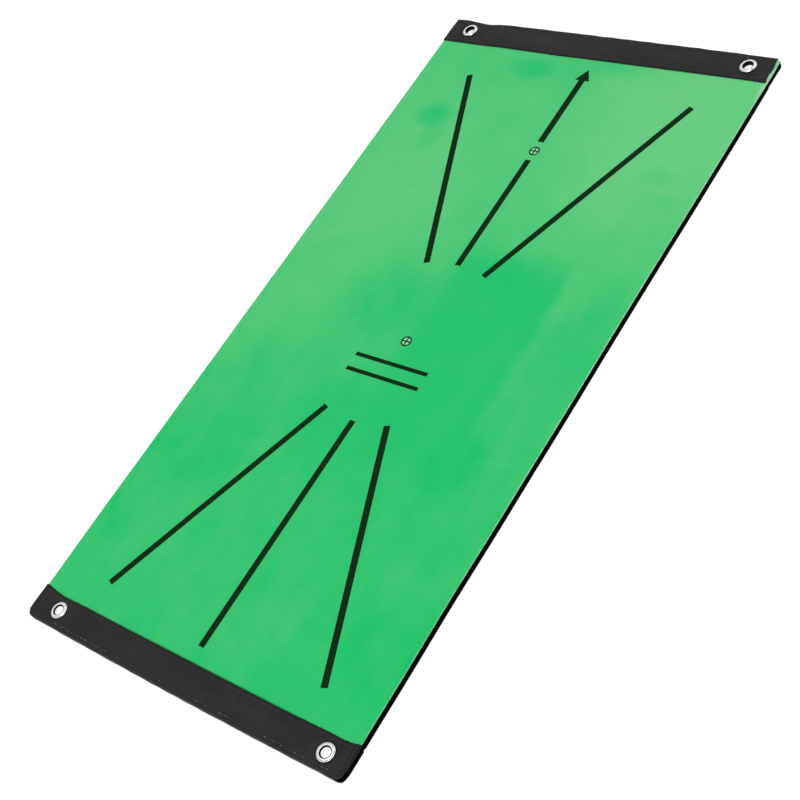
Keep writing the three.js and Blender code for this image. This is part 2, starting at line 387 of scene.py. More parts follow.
# Where the green pile lies over and looks paler (or, if negative, stands and looks deeper):
# (x, y, half width, half length, amount), the lengths in millimetres
BRUSHED_PATCHES = [
    (-100, 60, 75, 140, 0.17),
    (-98, 150, 50, 80, 0.08),
    (105, 235, 95, 120, 0.42),
    (-60, 278, 120, 42, -0.14),
    (-108, 199, 20, 15, -0.50),
    (-98, 176, 14, 18, -0.20),
    (-48, 263, 24, 13, -0.34),
    (30, 275, 30, 11, -0.24),
    (112, 178, 18, 10, -0.24),
    (130, 155, 12, 10, -0.14),
    (134, 20, 36, 70, -0.22),
    (98, -90, 30, 60, -0.12),
    (-42, 24, 48, 40, -0.34),
    (30, -75, 110, 60, -0.10),
    (-104, -50, 14, 50, -0.10),
    (-140, -30, 20, 50, 0.12),
    (-118, -135, 52, 44, -0.10),
    (-70, -215, 60, 60, 0.06),
    (25, -245, 34, 26, 0.08),
    (120, -250, 60, 70, -0.10),
]
# The hollow round the ball's place, where the pile stands up and looks deepest. Its right-hand
# side is nearly a straight line: (outer, inner) millimetres along each axis.
HOLLOW_LEFT, HOLLOW_RIGHT = (-16, 14), (101, 90)
HOLLOW_NEAR, HOLLOW_FAR = (-150, -30), (100, 66)
HOLLOW_DEPTH, HOLLOW_TONE, HOLLOW_WANDER = 0.94, 0.06, 18
# Where the fabric bulges beside the trimmed flap, a broader highlight is painted along its edge:
# (x, y, half width, half length, amount)
LIT_BULGE_EDGE = (152, 283, 5.5, 30, 0.75)
# Along each flap a contact shadow is painted on the nap, which is pressed there too: y where it
# starts and where it is darkest. At the right-hand side, past the trimmed flap, there is none: x
# where it is gone and where it is full.
FLAP_SHADOW_FAR, FLAP_SHADOW_NEAR = (278.3, 280.1), (-280.3, -282.1)
FLAP_SHADOW_SIDE = (148.5, 146.5)


def green_nap():
    """Dyed nap. Where the pile is brushed over it turns paler, in soft clouds and streaks.

    It is palest towards the target, where a sheen is painted in, and deepest in the hollow round
    the ball. A highlight is painted along its edge, and a contact shadow along each flap.
    """
    look = Look("green_nap")
    # Paler towards the target: a painted sheen, added to the brushed patches and clouds
    far = look.span(look.axis("Y"), -0.16, 0.17, 0.20, 0.60)
    patches = [look.patch(*patch) for patch in BRUSHED_PATCHES]
    cloud = look.math("SUBTRACT", look.noise(22, detail=4, roughness=0.62, distortion=0.5), 0.5)
    streaks = look.noise(14, detail=3, distortion=0.4, place=look.scaled_place((5, 1.2, 1)))
    streaks = look.math("SUBTRACT", streaks, 0.5)
    uneven = look.math("ADD", look.times(cloud, 0.62), look.times(streaks, 0.26))
    brushed_and_sheen = look.total([far, *patches, uneven])
    hollow = HOLLOW_DEPTH
    wander = look.times(cloud, HOLLOW_WANDER * MM)
    hollow_sides = [("X", HOLLOW_LEFT), ("X", HOLLOW_RIGHT), ("Y", HOLLOW_NEAR), ("Y", HOLLOW_FAR)]
    for axis, (outer, inner) in hollow_sides:
        place = look.math("ADD", look.axis(axis), wander)
        inside = look.span(place, outer * MM, inner * MM)
        hollow = look.times(inside, hollow)
    upright = look.math("ADD", look.times(cloud, 0.30), HOLLOW_TONE)
    lost = look.times(hollow, look.math("SUBTRACT", brushed_and_sheen, upright))
    brushed_and_sheen = look.math("SUBTRACT", brushed_and_sheen, lost)
    color = look.mix(brushed_and_sheen, NAP_DEEP, NAP_PALE)
    fleck = look.span(look.noise(900, detail=4, roughness=0.8), 0.25, 0.75)
    color = look.mix(look.times(fleck, 0.18), color, NAP_GAPS)
    # A painted highlight along the fabric's edge and beside the bulge, broken up, stronger towards
    # the target
    lit_edge = look.math("MAXIMUM", look.tone(), look.patch(*LIT_BULGE_EDGE))
    edge_highlight = look.times(lit_edge, look.span(look.noise(260, detail=3), 0.3, 0.6, 0.45, 1.0))
    edge_highlight = look.times(edge_highlight, look.span(look.axis("Y"), -0.25, 0.05, 0.5, 1.0))
    color = look.mix(look.times(edge_highlight, 0.75), color, NAP_EDGE_HIGHLIGHT)
    # A painted contact shadow along each flap's edge, where the nap is also pressed
    under = look.span(look.axis("X"), FLAP_SHADOW_SIDE[0] * MM, FLAP_SHADOW_SIDE[1] * MM)
    for start, darkest in (FLAP_SHADOW_FAR, FLAP_SHADOW_NEAR):
        pressed = look.span(look.axis("Y"), start * MM, darkest * MM, 0.0, 0.9)
        color = look.mix(look.times(pressed, under), color, NAP_PRESSED_AND_SHADOWED)
    look.set(Base_Color=color, Roughness=look.span(cloud, -0.3, 0.3, 0.86, 0.97))
    look.set(Normal=nap_normal(look), Sheen_Weight=0.05, Sheen_Roughness=0.5)
    look.set(Specular_IOR_Level=0.10)
    return look.material


def printed_nap(name, deep, worn):
    """The same nap under dye, a little thin where the tufts stand apart."""
    look = Look(name)
    thin = look.span(look.noise(700, detail=4, roughness=0.75), 0.45, 0.85)
    color = look.mix(thin, deep, worn)
    look.set(Base_Color=color, Roughness=look.span(thin, 0, 1, 0.8, 0.95))
    look.set(Normal=nap_normal(look), Specular_IOR_Level=0.03)
    return look.material


def cut_rubber():
    """Matt black rubber with a die-cut side, pores and a little pale dust."""
    look = Look("cut_rubber")
    pores = look.cells(900)
    drag = look.noise(260, detail=3, place=look.scaled_place((1, 0.15, 6)))
    dust = look.span(look.noise(330, detail=5, roughness=0.7), 0.60, 0.80)
    color = look.mix(look.times(dust, 0.2), RUBBER, RUBBER_DUSTY)
    look.set(Base_Color=color, Roughness=look.span(drag, 0.2, 0.8, 0.62, 0.85))
    normal = look.bump(drag, 0.0004)
    look.set(Normal=look.bump(pores, 0.0001, under=normal), Specular_IOR_Level=0.01)
    return look.material


def strip_leather():
    """Charcoal imitation leather: pebbled grain, creases, and scuffs that catch the light."""
    look = Look("strip_leather")
    pebbles = look.cells(1100)
    creases = look.noise(120, detail=6, roughness=0.65, distortion=1.2)
    blotches = look.noise(34, detail=3, roughness=0.6)
    scuffs = look.span(look.noise(240, detail=5, roughness=0.75, distortion=0.8), 0.60, 0.78)
    color = look.mix(look.span(blotches, 0.3, 0.7), LEATHER_DEEP, LEATHER_PALE)
    color = look.mix(look.times(scuffs, 0.35), color, LEATHER_SCUFFED)
    # Above 0 the tone is rubbed pale on the fold and a painted sheen along the middle
    rubbed = look.span(look.tone(), 0.0, 1.0)
    color = look.mix(look.times(rubbed, 0.5), color, LEATHER_RUBBED_AND_SHEEN)
    # Below 0 the tone paints shade in the grooves and a shadow round the eyelets, and darkens cut
    # edges
    pressed = look.span(look.tone(), 0.0, -1.0)
    color = look.mix(look.times(pressed, 0.85), color, LEATHER_PRESSED_AND_SHADED)
    look.set(Base_Color=color)
    look.set(Roughness=look.span(look.math("ADD", blotches, scuffs), 0.3, 1.4, 0.46, 0.70))
    normal = look.bump(creases, 0.0005)
    look.set(Normal=look.bump(pebbles, 0.00018, under=normal), Specular_IOR_Level=0.15)
    return look.material


def nickel(name, base, rough):
    """Bright plating with fine handling marks, and painted shade, dark and unmetallic, where it
    bends into its tube.
    """
    look = Look(name)
    marks = look.noise(1400, detail=4, roughness=0.7, place=look.scaled_place((1, 5, 1)))
    stain = look.noise(420, detail=3)
    dull = tuple(0.82 * part for part in base)
    color = look.mix(look.span(stain, 0.45, 0.75), base, dull)
    # Where the tone is low, painted shade: dark and not metallic
    metal_shade = look.span(look.tone(), -0.1, -0.8)
    color = look.mix(metal_shade, color, METAL_SHADE)
    look.set(Base_Color=color, Metallic=look.math("SUBTRACT", 1.0, metal_shade))
    look.set(Specular_IOR_Level=0.03)
    look.set(Roughness=look.span(marks, 0.3, 0.7, rough, rough + 0.14))
    look.set(Normal=look.bump(marks, 0.00002))
    return look.material


def spun_thread():
    """Charcoal polyester thread in twisted plies. A stitch here and there is rubbed pale, most
    of all in the rows nearest the mat's ends."""
    look = Look("spun_thread")
    plies = look.noise(2600, detail=2)
    rubbed = look.span(look.noise(310, detail=4, roughness=0.75), 0.555, 0.64)
    color = look.mix(look.span(plies, 0.35, 0.7), THREAD_DEEP, THREAD_PALE)
    outer_row = look.span(look.math("ABSOLUTE", look.axis("Y")), 0.286, 0.300, 0.25, 1.0)
    rubbed = look.times(rubbed, outer_row)
    color = look.mix(look.times(rubbed, 0.85), color, THREAD_RUBBED)
    look.set(Base_Color=color, Roughness=look.span(plies, 0.3, 0.7, 0.5, 0.75))
    look.set(Normal=look.bump(plies, 0.0002), Sheen_Weight=0.1, Specular_IOR_Level=0.2)
    return look.material


def pale_floor():
    """A white sweep, lit from within as well as from above, so that shadows on it stay faint."""
    look = Look("pale_floor")
    tone = look.noise(3, detail=2)
    look.set(Base_Color=look.mix(tone, FLOOR_DEEP, FLOOR_PALE), Roughness=0.9)
    look.set(Specular_IOR_Level=0.1, Emission_Color=(1, 1, 1, 1), Emission_Strength=0.90)
    return look.material


# ---- Camera, lights and floor ----

CAMERA_PLACE = Vector((0.6429, -0.4099, 0.7609))
CAMERA_FORWARD = Vector((-0.5933, 0.3431, -0.7282))
CAMERA_UP = Vector((-0.2479, 0.7828, 0.5708))
CAMERA_LENS, CAMERA_SENSOR = 66.73, 36.0
FLOOR_SIZE = 80.0
# (name, place in metres, diameter, watts), each aimed at the mat's middle
LIGHTS = [("key", (0.25, -0.45, 2.3), 1.3, 32), ("fill", (0.5, 1.9, 1.7), 1.6, 8)]
# The studio's open side, and how nearly a direction points there when it starts and ends to darken
OPEN_SIDE = Vector((0.60, -0.42, 0.68))
OPEN_START, OPEN_FULL = 0.72, 0.93
WORLD_BRIGHT, WORLD_DARK = 0.86, 0.10


def add_camera():
    data = bpy.data.cameras.new("camera")
    data.lens = CAMERA_LENS
    data.sensor_width = CAMERA_SENSOR
    camera = bpy.data.objects.new("camera", data)
    forward = CAMERA_FORWARD.normalized()
    right = forward.cross(CAMERA_UP).normalized()
    up = right.cross(forward)
    turn = Matrix((right, up, -forward)).transposed()
    camera.matrix_world = Matrix.Translation(CAMERA_PLACE) @ turn.to_4x4()
    bpy.context.scene.collection.objects.link(camera)
    bpy.context.scene.camera = camera


def add_light(name, place, size, power):
    data = bpy.data.lights.new(name, "AREA")
    data.shape = "DISK"
    data.size = size
    data.energy = power
    light = bpy.data.objects.new(name, data)
    light.location = place
    light.rotation_mode = "QUATERNION"
    light.rotation_quaternion = (-Vector(place)).to_track_quat("-Z", "Y")
    bpy.context.scene.collection.objects.link(light)


def add_world():
    """A white studio with one open, unlit side, so that polished metal has a dark to reflect."""
    world = bpy.data.worlds.new("studio")
    world.use_nodes = True
    tree = world.node_tree
    coordinates = tree.nodes.new("ShaderNodeTexCoord")
    towards = tree.nodes.new("ShaderNodeVectorMath")
    towards.operation = "DOT_PRODUCT"
    towards.inputs[1].default_value = OPEN_SIDE.normalized()
    tree.links.new(coordinates.outputs["Generated"], towards.inputs[0])
    strength = tree.nodes.new("ShaderNodeMapRange")
    strength.interpolation_type = "SMOOTHSTEP"
    ends = {"From Min": OPEN_START, "From Max": OPEN_FULL,
            "To Min": WORLD_BRIGHT, "To Max": WORLD_DARK}
    for socket, value in ends.items():
        strength.inputs[socket].default_value = value
    tree.links.new(towards.outputs["Value"], strength.inputs["Value"])
    tree.links.new(strength.outputs["Result"], tree.nodes["Background"].inputs["Strength"])
    tree.nodes["Background"].inputs["Color"].default_value = (1, 1, 1, 1)
    bpy.context.scene.world = world


def add_studio():
    bpy.context.scene.view_settings.view_transform = "Standard"
    add_world()
    for light in LIGHTS:
        add_light(*light)
    half = FLOOR_SIZE / 2 / MM
    corners = [(x, y, 0) for x, y in rectangle(half, -half, half)]
    floor = make_mesh("floor", corners, [[0, 1, 2, 3]])
    floor.data.materials.append(pale_floor())


# ---- The full-length layers ----

def side_wobble(y, seed):
    """A hand-trimmed long side wanders a little from its straight line."""
    return 0.22 * wavy(y, 0 * y, 70, seed)


# How much rounder the layers' corners are than the strips', so that they stay inside the folds
UNDER_FOLD = {"tail": 1.2, "target": 0.0}
CORNER_STEPS, LINE_STEPS = 8, 120
# A side's wander fades out over this length at each corner
WANDER_FADE = 25
# On the right-hand side the rubber stands out all along, and beside the target strip's trimmed
# flap the fabric bulges out and droops
RUBBER_PROUD, FABRIC_BULGE, FABRIC_DROOP = 0.6, 0.4, 0.5
# How far in from its edge the fabric carries a painted highlight, and droops where it bulges
EDGE_HIGHLIGHT_BAND = 0.75


def layer_outline(inset, bulge=0.0, proud=0.0):
    """The mat seen from above, anticlockwise, following the bowed ends and the round corners.

    It may bulge on the right-hand side beside the target strip, or stand proud of that whole side.
    """
    tail, target = ENDS["tail"], ENDS["target"]
    wide = HALF_WIDTH - inset
    reach = LAYER_END - inset
    points = []

    def arc(side_x, side_y, radius, first):
        end = target if side_y > 0 else tail
        bowed = fold_shift(end, end["sign"] * side_x * wide)
        centre = side_x * (wide - radius), side_y * (reach + bowed - radius)
        for k in range(CORNER_STEPS + 1):
            angle = math.radians(first + 90 * k / CORNER_STEPS)
            points.append((centre[0] + radius * math.cos(angle),
                           centre[1] + radius * math.sin(angle)))

    def side(side_x, low, high, seed, step):
        ys = np.linspace(low - reach, reach - high, LINE_STEPS)[1:-1][::step]
        fade = smooth(0, WANDER_FADE, np.minimum(ys + reach - low, reach - high - ys))
        wander = side_wobble(ys, seed) * fade + bulge * bulge_share(ys) * (side_x > 0)
        points.extend(zip(side_x * wide + wander, ys))

    def end_line(end, first, last):
        xs = np.linspace(first, last, LINE_STEPS)[1:-1]
        points.extend(zip(xs, end["sign"] * (reach + fold_shift(end, end["sign"] * xs))))

    radii = [end["corners"][side] + UNDER_FOLD[end["name"]]
             for end in (tail, target) for side in ("left", "right")]
    tail_left, tail_right, target_left, target_right = radii
    arc(1, -1, tail_left, -90)
    side(1, tail_left, target_right, 5, 1)
    arc(1, 1, target_right, 0)
    end_line(target, wide - target_right, target_left - wide)
    arc(-1, 1, target_left, 90)
    side(-1, tail_right, target_left, 9, -1)
    arc(-1, -1, tail_right, 180)
    end_line(tail, tail_right - wide, wide - tail_left)
    outline = np.array(points)
    outline[:, 0] += proud * np.clip(outline[:, 0] / wide, 0, 1)
    return outline


def bulge_share(y):
    """How much of the fabric's bulge is there at y: all of it beside the trimmed flap."""
    return smooth(245, 285, y) * (1 - smooth(292, 299, y))


def rounded_rings(low, high, lower_round, upper_round):
    """(inset, height) of a sheet's side, from its lower face round both edges to its upper face."""
    rings = []
    for k in range(4):
        turn = math.radians(30 * k)
        inset, rise = 1 - math.sin(turn), 1 - math.cos(turn)
        rings.append((lower_round * inset, low + lower_round * rise))
    for k in range(4):
        turn = math.radians(30 * k)
        inset, fall = 1 - math.cos(turn), 1 - math.sin(turn)
        rings.append((upper_round * inset, high - upper_round * fall))
    return rings


def slab(name, rings, bulge=0.0, drop=0.0, edge_highlight=0.0, proud=0.0):
    """A closed sheet over the mat's outline. Where it bulges, its edge may also drop.

    Its tone is pale within the given band at its edge, where the nap's material paints a highlight.
    """
    points, tone = [], []
    for inset, z in rings:
        outline = layer_outline(inset, bulge, proud)
        near = np.clip(1 - inset / edge_highlight, 0, 1) if edge_highlight else 0.0
        lowered = drop * near * bulge_share(outline[:, 1]) * (outline[:, 0] > 0)
        points.append(np.column_stack([outline, z - lowered]))
        tone.append(np.full(len(outline), float(near > 0)))
    faces = closed_faces(len(rings), len(points[0]))
    return make_mesh(name, np.concatenate(points), faces, tone=np.concatenate(tone))


def eyelet_places():
    """(end, side number, x, y) of each eyelet in the mat's frame."""
    for end in ENDS.values():
        for number, (x, y) in enumerate(end["eyelets"]):
            yield end, number, end["sign"] * x, end["sign"] * y


# Cutters start below the mat, end above it, and reach past its outline by this much
CUT_FROM, CUT_TO, CUT_PAST = -5, 12, 5


def hole_cutter(radius, high=CUT_TO):
    outlines = [circle((x, y), radius, 48) for _, _, x, y in eyelet_places()]
    return prisms("hole_cutter", outlines, CUT_FROM, high)


def discard(piece):
    mesh = piece.data
    bpy.data.objects.remove(piece)
    bpy.data.meshes.remove(mesh)


# Under each strip the rubber is thinner, as far in as this from the fold, and thinner still in a
# dimple over each washer
STEP_LENGTH = STRIP_WIDTH + 1.8 + 0.3
STEP_TOP = LEATHER + 0.05
DIMPLE_RADIUS, DIMPLE_TOP = 8.0, 1.95


def add_layers():
    holes = hole_cutter(EYELET_HOLE)
    dimples = hole_cutter(DIMPLE_RADIUS, DIMPLE_TOP)
    reach = HALF_WIDTH + CUT_PAST
    steps = prisms("step_cutter", [
        rectangle(reach, FOLD_Y - STEP_LENGTH, FOLD_Y + CUT_PAST),
        rectangle(reach, -FOLD_Y - CUT_PAST, STEP_LENGTH - FOLD_Y),
    ], CUT_FROM, STEP_TOP)
    rubber_rings = rounded_rings(RUBBER_LOW[2], RUBBER_HIGH[2], 0.35, 0.15)
    rubber = slab("rubber_slab", rubber_rings, proud=RUBBER_PROUD)
    for cutter in (steps, dimples, holes):
        cut(rubber, cutter)
    face_rings = rounded_rings(FABRIC_LOW[2], FABRIC_TOP, 0.02, 0.3)
    face_rings.append((EDGE_HIGHLIGHT_BAND, FABRIC_TOP))
    face = slab("printed_face", face_rings, FABRIC_BULGE, FABRIC_DROOP, EDGE_HIGHLIGHT_BAND)
    cut(face, holes)
    for cutter in (steps, dimples, holes):
        discard(cutter)
    finish_piece(rubber, cut_rubber(), "base_rubber", "rubber_base")
    finish_piece(face, green_nap(), "nap_fabric", "face_fabric")
    return rubber, face


def finish_piece(piece, material, slot, *nodes):
    """Gives a piece its material and its body, and hides the CAD nodes it stands for. Its slot is
    not used.
    """
    piece.data.materials.clear()
    piece.data.materials.append(material)
    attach(piece, BODY)
    if nodes:
        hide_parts(*nodes)


# ---- The print ----

PRINT_X = 2.2
GUIDE_WIDTH = 5.2
FAR_FAN, NEAR_FAN = 22.45, 22.0
MARK_RADIUS = 4.45
MARK_LINE = 1.15
# How far the lines of a mark's cross run into its ring
OVERLAP = 0.02
# (x from the print's centre line, y, degrees left of +Y, length), from the end nearer the ball
GUIDES = [
    (-26.5, 60.6, FAR_FAN, 200.6),
    (0.0, 64.7, 0.0, 106.9),
    (26.5, 60.6, -FAR_FAN, 200.6),
    (-28.5, -75.9, 180 - NEAR_FAN, 196.8),
    (0.0, -80.6, 180.0, 189.3),
    (28.5, -75.9, 180 + NEAR_FAN, 196.8),
]
ARROW_START, ARROW_NECK, ARROW_TIP = 190.5, 256.9, 268.6
ARROW_WIDTH, ARROW_HALF_HEAD = 5.6, 6.5
BALL_LINES = (-29.0, -42.1)
BALL_LINE_LENGTH, BALL_LINE_WIDTH = 66.8, 3.3
TARGET_MARK_Y, BALL_MARK_Y = 181.0, -8.0


def bar(x, y, heading, length, width):
    """A straight line's outline from (x, y), anticlockwise, heading in degrees left of +Y."""
    angle = math.radians(heading)
    along = np.array([-math.sin(angle), math.cos(angle)])
    across = np.array([math.cos(angle), math.sin(angle)]) * width / 2
    start = np.array([x, y])
    corners = [start - across, start + across, start + across + along * length,
               start - across + along * length]
    return [tuple(corner) for corner in corners]


def arrow_outline():
    half, head = ARROW_WIDTH / 2, ARROW_HALF_HEAD
    right = [(half, ARROW_START), (half, ARROW_NECK), (head, ARROW_NECK)]
    left = [(-x, y) for x, y in reversed(right)]
    outline = [*right, (0.0, ARROW_TIP), *left]
    return [(PRINT_X + x, y) for x, y in outline]


def ring_quarters(centre, outer, inner, count=16):
    """A flat ring as four quarter outlines, which meet edge to edge."""
    quarters = []
    for quarter in range(4):
        angles = [math.radians(90 * (quarter + k / count)) for k in range(count + 1)]
        way_round = [(outer, a) for a in angles] + [(inner, a) for a in reversed(angles)]
        quarters.append([(centre[0] + radius * math.cos(a), centre[1] + radius * math.sin(a))
                         for radius, a in way_round])
    return quarters


def mark_lines(y):
    """The outlines of a small round mark with a cross in it."""
    centre = (PRINT_X, y)
    inner = MARK_RADIUS - MARK_LINE
    reach = inner + OVERLAP
    upright = bar(PRINT_X, y - reach, 0, 2 * reach, MARK_LINE)
    gap = MARK_LINE / 2
    left = bar(PRINT_X - gap, y, 90, reach - gap, MARK_LINE)
    right = bar(PRINT_X + gap, y, -90, reach - gap, MARK_LINE)
    return [*ring_quarters(centre, MARK_RADIUS, inner), upright, left, right]


def add_print():
    """The dyed areas, level with the top of the nap, each closed below it."""
    sunk, level = FABRIC_TOP - 0.12, FABRIC_TOP + 0.03
    guides = [bar(PRINT_X + x, *line, GUIDE_WIDTH) for x, *line in GUIDES]
    half = BALL_LINE_LENGTH / 2
    lines = [bar(PRINT_X + half, y, 90, 2 * half, BALL_LINE_WIDTH) for y in BALL_LINES]
    dark = printed_nap("printed_black", DYE_DARK, DYE_DARK_WORN)
    pale = printed_nap("printed_pale", DYE_PALE, DYE_PALE_WORN)
    pieces = [
        prisms("print_guide_lines", guides, sunk, level),
        prisms("print_ball_lines", lines, sunk, level),
        prisms("print_arrow", [arrow_outline()], sunk, level),
        prisms("print_target_mark", mark_lines(TARGET_MARK_Y), sunk, level),
        prisms("print_ball_mark", mark_lines(BALL_MARK_Y), sunk, level),
    ]
    for piece in pieces:
        finish_piece(piece, dark, "nap_fabric")
    inner = MARK_RADIUS - MARK_LINE / 2
    spots = [circle((PRINT_X, y), inner, 48) for y in (TARGET_MARK_Y, BALL_MARK_Y)]
    spot_piece = prisms("print_mark_grounds", spots, sunk, level - 0.015)
    finish_piece(spot_piece, pale, "nap_fabric")
    return [*pieces, spot_piece]


# ---- The folded strips ----

GROOVE_DEPTH, GROOVE_WIDTH = 0.15, 0.6
PUCKER_HEIGHT, PUCKER_WIDTH = 0.04, 1.7
# The padding stands higher inside the seam than outside it
PADDING_INSIDE, PADDING_OUTSIDE, PADDING_WIDTH = 0.20, 0.12, 2.6
# Irregular lumps of the padding: (height, size in millimetres)
BROAD_LUMPS, SMALL_LUMPS = (0.17, 15), (0.07, 5)
# How an eyelet presses its seat down, draws in the leather around it and creases that
EYELET_DINT, EYELET_DRAW, DRAW_WIDTH, EYELET_CREASE = 0.48, 0.16, 3.2, 0.045
HIGHEST_RELIEF, EDGE_ROUNDING = 0.5, 0.38


def seam_sides(end):
    """The seam's rectangle: left and right x, and lower and upper d, the distance from the fold."""
    left = SEAM_FROM_SIDE - HALF_WIDTH
    right = HALF_WIDTH - SEAM_FROM_SIDE - max(end["trim"].values())
    return left, right, SEAM_FROM_END, STRIP_WIDTH - SEAM_FROM_FLAP_EDGE


def seam_place(end, x, d):
    """How far a point is from the seam (negative inside it), and its phase along the stitches."""
    left, right, near, far = seam_sides(end)
    off_x = np.abs(x - (left + right) / 2) - (right - left) / 2
    off_d = np.abs(d - (near + far) / 2) - (far - near) / 2
    outside = np.hypot(np.maximum(off_x, 0), np.maximum(off_d, 0))
    distance = outside + np.minimum(np.maximum(off_x, off_d), 0)
    phase = np.where(np.abs(off_d) < np.abs(off_x), x, d) * 2 * math.pi / STITCH_PITCH
    return distance, phase


def flap_relief(end, x, d, upper):
    """A flap's height over its flat level: sewn grooves, padding, lumps and eyelet dints."""
    distance, phase = seam_place(end, x, d)
    groove = bell(distance, GROOVE_WIDTH)
    pucker = bell(distance, PUCKER_WIDTH) * np.cos(phase)
    relief = -GROOVE_DEPTH * groove - PUCKER_HEIGHT * pucker
    if not upper:
        return relief - 0.12 * groove
    crown = 1 - bell(distance, PADDING_WIDTH)
    relief = relief + np.where(distance < 0, PADDING_INSIDE, PADDING_OUTSIDE) * crown
    relief = relief + BROAD_LUMPS[0] * wavy(x, d * 0.6, BROAD_LUMPS[1], 31) * crown
    relief = relief + SMALL_LUMPS[0] * wavy(x, d, SMALL_LUMPS[1], 32) * crown
    for number, (eye_x, eye_y) in enumerate(end["eyelets"]):
        gap_x, gap_d = x - eye_x, d - (FOLD_Y - eye_y)
        radius, angle = np.hypot(gap_x, gap_d), np.arctan2(gap_d, gap_x)
        pressed = 1 - smooth(FLANGE_RADIUS - 0.1, FLANGE_RADIUS + 1.1, radius)
        drawn = bell(radius - FLANGE_RADIUS, DRAW_WIDTH) * (radius > 3)
        creases = np.cos(angle * 9 + number * 2 + 1) + 0.6 * np.cos(angle * 5 + number)
        relief = relief * (1 - pressed) - EYELET_DINT * pressed
        relief = relief - EYELET_DRAW * drawn * (1 - pressed)
        relief = relief + EYELET_CREASE * drawn * creases * smooth(0.5, 2.5, radius - FLANGE_RADIUS)
    edge = smooth(STRIP_WIDTH - 0.7, STRIP_WIDTH, d)
    return np.minimum(relief, HIGHEST_RELIEF) - EDGE_ROUNDING * edge ** 2


def flap_samples():
    """Distances in from the fold, closer together where the seams and the edge are."""
    near, far = SEAM_FROM_END, STRIP_WIDTH - SEAM_FROM_FLAP_EDGE
    around = np.array([-1.5, -1.0, -0.65, -0.35, 0.0, 0.35, 0.65, 1.0, 1.5])
    between = np.linspace(near + 2.2, far - 2.2, 15)
    edge = STRIP_WIDTH - np.array([1.0, 0.6, 0.3, 0.1, 0.0])
    return np.unique(np.concatenate([near + around, between, far + around, edge]).round(4))


def strip_section():
    """The strip's outer line from the lower flap's edge round the fold to the upper flap's edge.

    Each row is (d, z, outward d, outward z, flap), flap being -1 below, 1 above and 0 on the fold.
    """
    samples = flap_samples()
    rows = [(d, 0.0, 0.0, -1.0, -1) for d in samples[::-1]]
    steps = [math.radians(15 * k) for k in range(7)]
    for turn in steps:
        out_d, out_z = -math.sin(turn), -math.cos(turn)
        rows.append((FOLD_RADIUS * (1 + out_d), FOLD_RADIUS * (1 + out_z), out_d, out_z, 0))
    for share in (1 / 3, 2 / 3):
        rows.append((0.0, FOLD_RADIUS + share * (FLAP_TOP - 2 * FOLD_RADIUS), -1.0, 0.0, 0))
    for turn in steps[::-1]:
        out_d, out_z = -math.sin(turn), math.cos(turn)
        z = FLAP_TOP - FOLD_RADIUS * (1 - out_z)
        rows.append((FOLD_RADIUS * (1 + out_d), z, out_d, out_z, 0))
    rows += [(d, FLAP_TOP, 0.0, 1.0, 1) for d in samples]
    return np.array(rows)


def side_limit(end, d, above, side):
    """Where the strip stops at one side, after its overhang, round corner and any trimmed flap.

    The overhang grows from nothing at the fold. A trimmed flap's cut is a little wavy.
    """
    radius = end["corners"][side]
    overhang = end["overhang"][side] * smooth(3, 9, d)
    overhang = np.where(above, overhang, np.minimum(overhang, LOWER_OVERHANG))
    short = np.maximum(radius - d, 0)
    limit = HALF_WIDTH + overhang - radius + np.sqrt(np.maximum(radius ** 2 - short ** 2, 0))
    if side == "right":
        at_fold, at_edge = end["trim"]["fold"], end["trim"]["edge"]
        trim = at_fold + (at_edge - at_fold) * d / STRIP_WIDTH
        trim = trim + 0.5 * np.sin(d * 0.45) * (trim > 0)
        limit = np.where(above, np.minimum(limit, HALF_WIDTH - trim), limit)
    return limit


def strip_tone(end, x, d, flap, room):
    """Painted shade in the grooves, a painted shadow round the eyelets, where the leather is also
    pressed, and dark along cut edges; rubbed pale on the fold and, here and there, a painted sheen
    along the middle."""
    distance, _ = seam_place(end, x, d)
    # Painted shade in the sewn grooves
    dark = 0.12 * bell(distance, 0.7) * (flap != 0)
    # A painted shadow round each eyelet's flange, where the leather is also pressed
    for eye_x, eye_y in end["eyelets"]:
        radius = np.hypot(x - eye_x, d - (FOLD_Y - eye_y))
        dark = np.maximum(dark, bell(radius - FLANGE_RADIUS - 0.3, 1.2))
    dark = np.maximum(dark, smooth(STRIP_WIDTH - 1.5, STRIP_WIDTH - 0.5, d) * (flap != 0))
    dark = np.maximum(dark, 0.6 * smooth(0.6, 0.1, room))
    rubbed = 0.5 * bell(d - 0.6, 0.8) * (flap >= 0)
    # A painted sheen, here and there, along the middle of the upper flap
    middle = 0.35 * bell(d - STRIP_WIDTH / 2, 5)
    middle = middle * (0.5 + 0.5 * wavy(x, 0 * x, 40, 61))
    return rubbed + middle * (flap > 0) - dark


# The grid's pitch along the strip, and how much of each of its ends stretches to the side's limit
GRID_PITCH, STRETCHED_MARGIN = 0.9, 16


